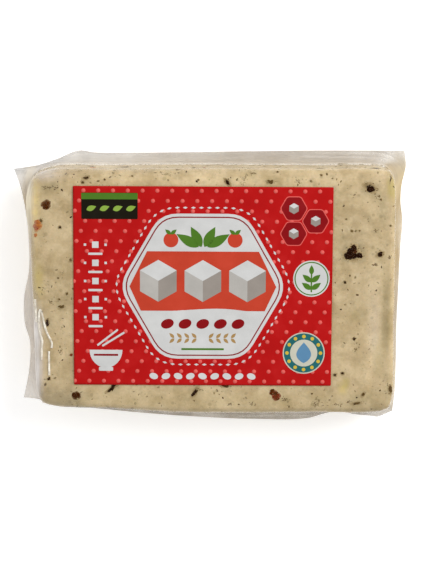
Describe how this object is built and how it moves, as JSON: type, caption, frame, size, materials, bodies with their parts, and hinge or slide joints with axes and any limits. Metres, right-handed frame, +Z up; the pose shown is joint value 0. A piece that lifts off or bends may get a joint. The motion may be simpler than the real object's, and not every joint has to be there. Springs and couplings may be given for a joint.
{
  "type": "vacuum-packed tofu block",
  "caption": "Block of herb and tomato speckled tofu in a clear vacuum pouch with a sealed skirt all round, lying flat with a red dotted paper label on its top face.",
  "frame": {"origin": "on the base plane, under the middle of the pack's box", "axes": "+X along the pack's length, to the right as the label is seen; +Y towards the label's top edge; +Z up, out of the label"},
  "size_m": [0.1394, 0.0976, 0.0272],
  "materials": {
    "pouch": "clear film drawn over cream tofu, soft gloss",
    "label": "printed paper, satin red with pale dots",
    "film": "clear pouch film, greyish where two layers are sealed",
    "tofu": "moist cream curd, faintly mottled",
    "herbs": "dark dried herb flakes",
    "tomato": "dark red dried tomato pieces",
    "print": "printing ink on the label"
  },
  "bodies": {
    "root": {"pouch": "pouch", "label": "label"}
  },
  "joints": []
}
